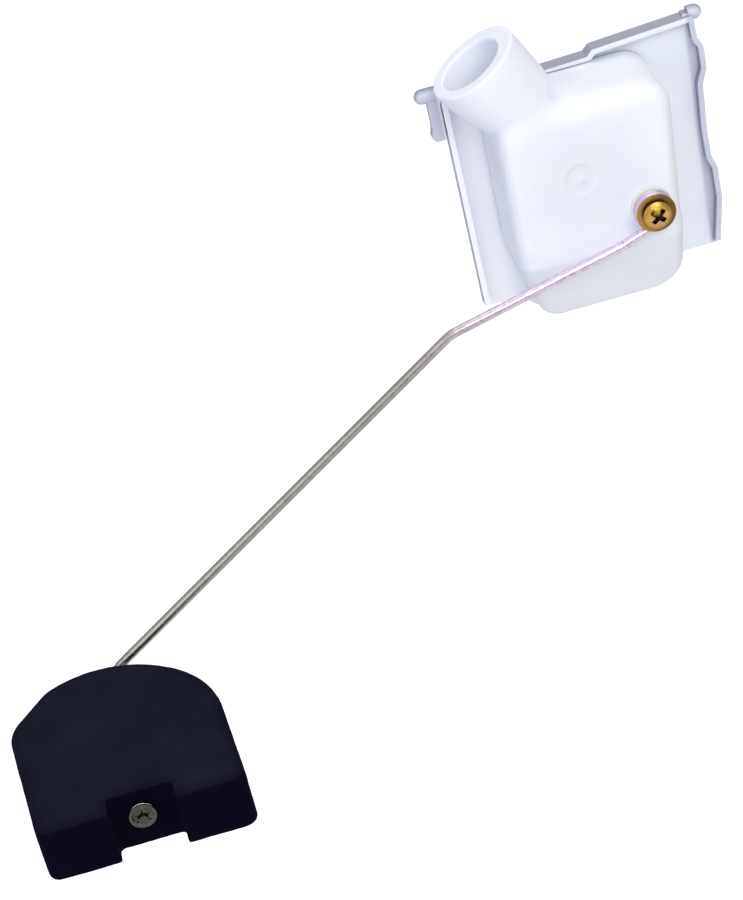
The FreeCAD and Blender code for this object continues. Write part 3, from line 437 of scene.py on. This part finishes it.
def foam():
    """Closed-cell black foam with a blue cast and fine cells, with painted light in pale patches where
    it faces up, away from edges.
    """
    t = Tree("foam_closed_cell")
    cells = t.cells(2.2)
    fine = t.noise(5.0, 6.0, 0.7)
    broad = t.noise(0.06, 4.0, 0.6)
    base = t.ramp(broad, [(0.3, (0.0016, 0.0010, 0.0065)), (0.7, (0.0030, 0.0022, 0.0105))])
    pits = t.ramp(cells, [(0.08, 1.0), (0.30, 0.0)])
    colour = t.mix(t.times(pits, 0.8), base, (0.0006, 0.0004, 0.0020))
    # painted light: faces turned up are lifted to a blue grey, in pale patches and less near the edges
    pale_patches = t.ramp(t.noise(0.06, 5.0, 0.6), [(0.3, 0.6), (0.7, 1.0)])
    inland = t.ramp(t.edge_wear(4.5), [(0.004, 1.0), (0.10, 0.25)])
    top_painted_light = t.times(t.times(pale_patches, t.faces("+Z", 0.3, 0.9)), t.ramp(fine, [(0.3, 0.7), (0.7, 1.0)]))
    top_painted_light = t.times(top_painted_light, inland)
    colour = t.mix(t.times(top_painted_light, 0.6), colour, (0.0185, 0.0205, 0.037))
    height = t.calc("ADD", t.times(cells, 0.5), t.times(fine, 0.5))
    return t.surface(t.principled(
        Base_Color=colour,
        Roughness=t.ramp(fine, [(0.3, 0.95), (0.7, 0.80)]),
        Specular_IOR_Level=0.03,
        Normal=t.bump(height, 0.22, 0.00025),
    ))


MATERIALS = {
    "clear_plastic": translucent_plate(),
    "white_plastic": white_plastic(),
    "acetal": acetal(),
    "silicone": rubber("silicone_cut", (0.52, 0.52, 0.50), (0.66, 0.66, 0.63)),
    "black_rubber": rubber("rubber_moulded", (0.012, 0.012, 0.013), (0.03, 0.03, 0.032)),
    "brass": brass(),
    "stainless": drawn_steel(),
    "zinc_steel": zinc("zinc_dull", (0.05, 0.05, 0.035), (0.16, 0.155, 0.11), (0.24, 0.22, 0.27)),
    "float_foam": foam(),
}


def set_material(obj, material):
    obj.data.materials.clear()
    obj.data.materials.append(material)


SLOT_OF = {row["node"]: row["material_slot"] for row in frame["record"]["subparts"]}
for node_name, node_object in NODES.items():
    set_material(node_object, MATERIALS[SLOT_OF[node_name]])

# The star washer is dull; the screws and the spring washer are still bright.
NEW_ZINC = zinc("zinc_bright", (0.42, 0.43, 0.44), (0.60, 0.60, 0.61), (0.78, 0.78, 0.80))
for node_name in ("body_screws", "lock_washer"):
    set_material(NODES[node_name], NEW_ZINC)
set_material(NODES["spindle"], plated_brass())


# ---------------------------------------------------------------- soft edges on the CAD nodes
# Edges that turn by more than this angle (degrees) are rounded, by each node's width in mm.
SHARP_ANGLE = 35.0
SOFT_EDGES = {
    "mounting_plate": 0.22,
    "spindle_bush": 0.12,
    "arm_washer": 0.08,
    "arm_screw": 0.07,
    "lock_washer": 0.05,
    "float_star_washer": 0.05,
    "float_back_collar": 0.15,
}


def soften(obj, width):
    """Welds a node's facets and rounds its sharp edges by width (mm)."""
    weld = obj.modifiers.new("weld", "WELD")
    weld.merge_threshold = JOIN_DISTANCE
    bevel = obj.modifiers.new("bevel", "BEVEL")
    bevel.width = width * MM
    bevel.segments = 2
    bevel.limit_method = "ANGLE"
    bevel.angle_limit = math.radians(SHARP_ANGLE)
    bevel.harden_normals = True


for node_name, width in SOFT_EDGES.items():
    soften(NODES[node_name], width)


# ---------------------------------------------------------------- remeshed pieces
# Grid steps in mm, and the share of the way to its neighbours' middle that a point moves in
# one round of smoothing.
BODY_VOXEL = 0.34
FOAM_VOXEL = 0.45
RELAX_STEP = 0.6


def take_modified_mesh(piece):
    """The piece's mesh with its modifiers applied; they are taken off the piece."""
    graph = bpy.context.evaluated_depsgraph_get()
    mesh = bpy.data.meshes.new_from_object(piece.evaluated_get(graph))
    piece.modifiers.clear()
    return mesh


def remeshed(node_name, piece_name, voxel):
    """A copy of a CAD node, rebuilt on an even grid of voxels (mm)."""
    mesh = NODES[node_name].data.copy()
    piece = bpy.data.objects.new(piece_name, mesh)
    bpy.context.scene.collection.objects.link(piece)
    bm = bmesh.new()
    bm.from_mesh(mesh)
    bmesh.ops.remove_doubles(bm, verts=bm.verts, dist=JOIN_DISTANCE)
    bm.to_mesh(mesh)
    bm.free()
    modifier = piece.modifiers.new("remesh", "REMESH")
    modifier.mode = "VOXEL"
    modifier.voxel_size = voxel * MM
    modifier.use_smooth_shade = True
    piece.data = take_modified_mesh(piece)
    piece.data.name = piece_name
    return piece


def mesh_points(mesh):
    points = np.zeros(len(mesh.vertices) * 3)
    mesh.vertices.foreach_get("co", points)
    return points.reshape(-1, 3)


def set_points(mesh, points):
    mesh.vertices.foreach_set("co", points.astype(np.float32).ravel())
    mesh.update()


def relax(mesh, weight, rounds):
    """Laplacian smoothing; weight is a number from 0 to 1 for each vertex."""
    points = mesh_points(mesh)
    edges = np.zeros(len(mesh.edges) * 2, np.int64)
    mesh.edges.foreach_get("vertices", edges)
    a, b = edges.reshape(-1, 2).T
    count = np.bincount(a, minlength=len(points)) + np.bincount(b, minlength=len(points))
    count = np.maximum(count, 1)[:, None]
    weight = np.asarray(weight)[:, None]
    for _ in range(rounds):
        total = np.zeros_like(points)
        for axis in range(3):
            total[:, axis] = np.bincount(a, points[b, axis], len(points))
            total[:, axis] += np.bincount(b, points[a, axis], len(points))
        points += weight * (total / count - points) * RELAX_STEP
    set_points(mesh, points)


def thin_out(piece, share):
    """Keeps this share of a mesh's faces: fewer on its flat walls, without slivers."""
    modifier = piece.modifiers.new("thin", "DECIMATE")
    modifier.ratio = share
    done = take_modified_mesh(piece)
    bm = bmesh.new()
    bm.from_mesh(done)
    bmesh.ops.dissolve_degenerate(bm, edges=bm.edges, dist=2 * JOIN_DISTANCE)
    bmesh.ops.triangulate(bm, faces=bm.faces)
    bm.to_mesh(done)
    bm.free()
    done.shade_smooth()
    done.name = piece.name
    piece.data = done


def bell(values, centre, width):
    """1 at the centre, falling smoothly to 0 over about twice the width."""
    return np.exp(-((values - centre) / width) ** 2)


def rise(values, start, width):
    """0 up to start, then a straight rise to 1 over the width."""
    return np.clip((values - start) / width, 0.0, 1.0)


def show_as(piece, node_name, slot, body):
    """The piece stands for a CAD node: it takes its material and rides on its body."""
    set_material(piece, MATERIALS[slot])
    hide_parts(node_name)
    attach(piece, body)


# The water way's frame, from the record: the middle of its bore, its direction, and the
# direction across it to the pivot's side.
INLET = next(m for m in frame["record"]["mounts"] if m["name"] == "inlet_bore")
FLOW_AXIS = np.array(INLET["axis"])
FLOW_POINT = np.array(INLET["pos_m"])
PIVOT_SIDE = np.array((FLOW_AXIS[2], 0.0, -FLOW_AXIS[0]))

# Where the blend and the wider valley on the pivot's side lie along the water way, in mm.
BLEND_ALONG, BLEND_WIDTH = -14.5, 5.0
VALLEY_ALONG, VALLEY_WIDTH = -15.3, 7.0
# It stays outside this radius (mm) round the water way, and this far in front of the plate's back.
BLEND_RADIUS, VALLEY_RADIUS = 9.0, 9.6
BLEND_FRONT, VALLEY_FRONT = 6.0, 3.6


def moulded_body():
    """The valve body with a moulded blend where the spigot grows out of the chamber."""
    piece = remeshed("valve_body", "valve_body_moulded", BODY_VOXEL)
    points = mesh_points(piece.data) / MM
    forward = -points[:, 1]
    offset = points - FLOW_POINT / MM
    along = offset @ FLOW_AXIS
    across = np.linalg.norm(offset - np.outer(along, FLOW_AXIS), axis=1)
    blend = bell(along, BLEND_ALONG, BLEND_WIDTH) * (across > BLEND_RADIUS) * (forward > BLEND_FRONT)
    # the valley reaches nearly back to the plate
    valley = bell(along, VALLEY_ALONG, VALLEY_WIDTH) * rise(offset @ PIVOT_SIDE, 3.0, 5.0)
    valley = valley * rise(forward, VALLEY_FRONT, 1.5) * (across > VALLEY_RADIUS)
    relax(piece.data, np.ones(len(points)), 3)
    relax(piece.data, blend, 90)
    relax(piece.data, valley, 320)
    relax(piece.data, np.clip(blend * 2.0, 0.0, 1.0), 6)
    thin_out(piece, 0.5)
    show_as(piece, "valve_body", "white_plastic", "housing")


def foam_float():
    """The foam block with a cut-cell skin: fine pits in the geometry and slightly worn edges."""
    piece = remeshed("float_block", "float_foam_block", FOAM_VOXEL)
    relax(piece.data, np.ones(len(piece.data.vertices)), 3)
    texture = bpy.data.textures.new("foam_skin", "CLOUDS")
    texture.noise_scale = 0.0032
    texture.noise_depth = 3
    modifier = piece.modifiers.new("skin", "DISPLACE")
    modifier.texture = texture
    modifier.texture_coords = "LOCAL"
    modifier.strength = 0.00022
    modifier.mid_level = 0.75
    show_as(piece, "float_block", "float_foam", "float")


moulded_body()
foam_float()


# ---------------------------------------------------------------- floor, light, camera
# In metres: how far the floor lies below the valve, half its side, and what the lights face.
FLOOR_DROP = 0.25
FLOOR_HALF = 3.0
MIDDLE = (-0.07, -0.03, -0.03)

CAMERA_PLACE = (-0.12479, -0.64571, 0.34252)
CAMERA_AZIMUTH, CAMERA_ELEVATION, CAMERA_ROLL = -4.0, 32.0, 13.69
CAMERA_LENS = 116.05


def floor_material():
    """Pale paper, lifted a little where the camera sees it."""
    t = Tree("floor_paper")
    grain = t.noise(0.02, 4.0, 0.5)
    colour = t.ramp(grain, [(0.3, (0.80, 0.80, 0.81)), (0.7, (0.84, 0.84, 0.85))])
    fine = t.noise(1.5, 3.0, 0.5)
    return t.surface(t.principled(
        Base_Color=colour,
        Roughness=0.9,
        Emission_Color=(1.0, 1.0, 1.0),
        Emission_Strength=t.times(t.seen_directly(), 0.45),
        Normal=t.bump(fine, 0.05, 0.0002),
    ))


def floor():
    low, high = CAD_BOX
    centre = Vector(((low[0] + high[0]) / 2, (low[1] + high[1]) / 2, low[2] - FLOOR_DROP))
    mesh = bpy.data.meshes.new("floor")
    bm = bmesh.new()
    corners = ((-1, -1), (1, -1), (1, 1), (-1, 1))
    bm.faces.new([bm.verts.new((x * FLOOR_HALF, y * FLOOR_HALF, 0)) for x, y in corners])
    bm.to_mesh(mesh)
    bm.free()
    obj = bpy.data.objects.new("floor", mesh)
    obj.location = centre
    bpy.context.scene.collection.objects.link(obj)
    set_material(obj, floor_material())


def area_light(name, place, side, power, colour=(1.0, 1.0, 1.0)):
    """A square light of this side (m) that faces the middle of the valve."""
    data = bpy.data.lights.new(name, "AREA")
    data.shape = "RECTANGLE"
    data.size = data.size_y = side
    data.energy = power
    data.color = colour
    obj = bpy.data.objects.new(name, data)
    obj.location = place
    obj.rotation_euler = (Vector(MIDDLE) - Vector(place)).to_track_quat("-Z", "Y").to_euler()
    bpy.context.scene.collection.objects.link(obj)


def world_light():
    """A pale sky, a little bluer below."""
    world = bpy.data.worlds.new("studio")
    bpy.context.scene.world = world
    world.use_nodes = True
    nodes, links = world.node_tree.nodes, world.node_tree.links
    nodes.clear()
    output = nodes.new("ShaderNodeOutputWorld")
    background = nodes.new("ShaderNodeBackground")
    ramp = nodes.new("ShaderNodeValToRGB")
    place = nodes.new("ShaderNodeTexCoord")
    split = nodes.new("ShaderNodeSeparateXYZ")
    links.new(place.outputs["Generated"], split.inputs[0])
    shift = nodes.new("ShaderNodeMapRange")
    shift.inputs["From Min"].default_value = -1.0
    links.new(split.outputs["Z"], shift.inputs["Value"])
    links.new(shift.outputs["Result"], ramp.inputs["Fac"])
    below, above = ramp.color_ramp.elements
    below.position = 0.35
    below.color = (0.62, 0.65, 0.76, 1)
    above.position = 0.75
    above.color = (1.0, 1.0, 1.0, 1)
    links.new(ramp.outputs["Color"], background.inputs["Color"])
    background.inputs["Strength"].default_value = 0.62
    links.new(background.outputs["Background"], output.inputs["Surface"])


def camera():
    """From the front, a little left and well above, rolled about its own view."""
    azimuth = math.radians(CAMERA_AZIMUTH)
    elevation = math.radians(CAMERA_ELEVATION)
    roll = math.radians(CAMERA_ROLL)
    back = Vector((
        math.sin(azimuth) * math.cos(elevation),
        -math.cos(azimuth) * math.cos(elevation),
        math.sin(elevation),
    ))
    ahead = -back
    level_right = ahead.cross(Vector((0, 0, 1))).normalized()
    level_up = level_right.cross(ahead)
    right = level_right * math.cos(roll) - level_up * math.sin(roll)
    up = level_up * math.cos(roll) + level_right * math.sin(roll)
    turn = Matrix((right, up, back)).transposed()
    data = bpy.data.cameras.new("camera")
    data.sensor_fit = "AUTO"
    data.sensor_width = 36.0
    data.lens = CAMERA_LENS
    data.clip_start = 0.01
    obj = bpy.data.objects.new("camera", data)
    obj.matrix_world = Matrix.Translation(CAMERA_PLACE) @ turn.to_4x4()
    bpy.context.scene.collection.objects.link(obj)
    bpy.context.scene.camera = obj


floor()
area_light("key", (0.10, -0.85, 0.70), 0.7, 5.6)
area_light("fill", (-0.75, -0.45, 0.25), 0.6, 1.6, (0.93, 0.95, 1.0))
area_light("top", (0.0, 0.2, 0.9), 0.9, 2.6)
world_light()
camera()
bpy.context.scene.view_settings.view_transform = "Standard"
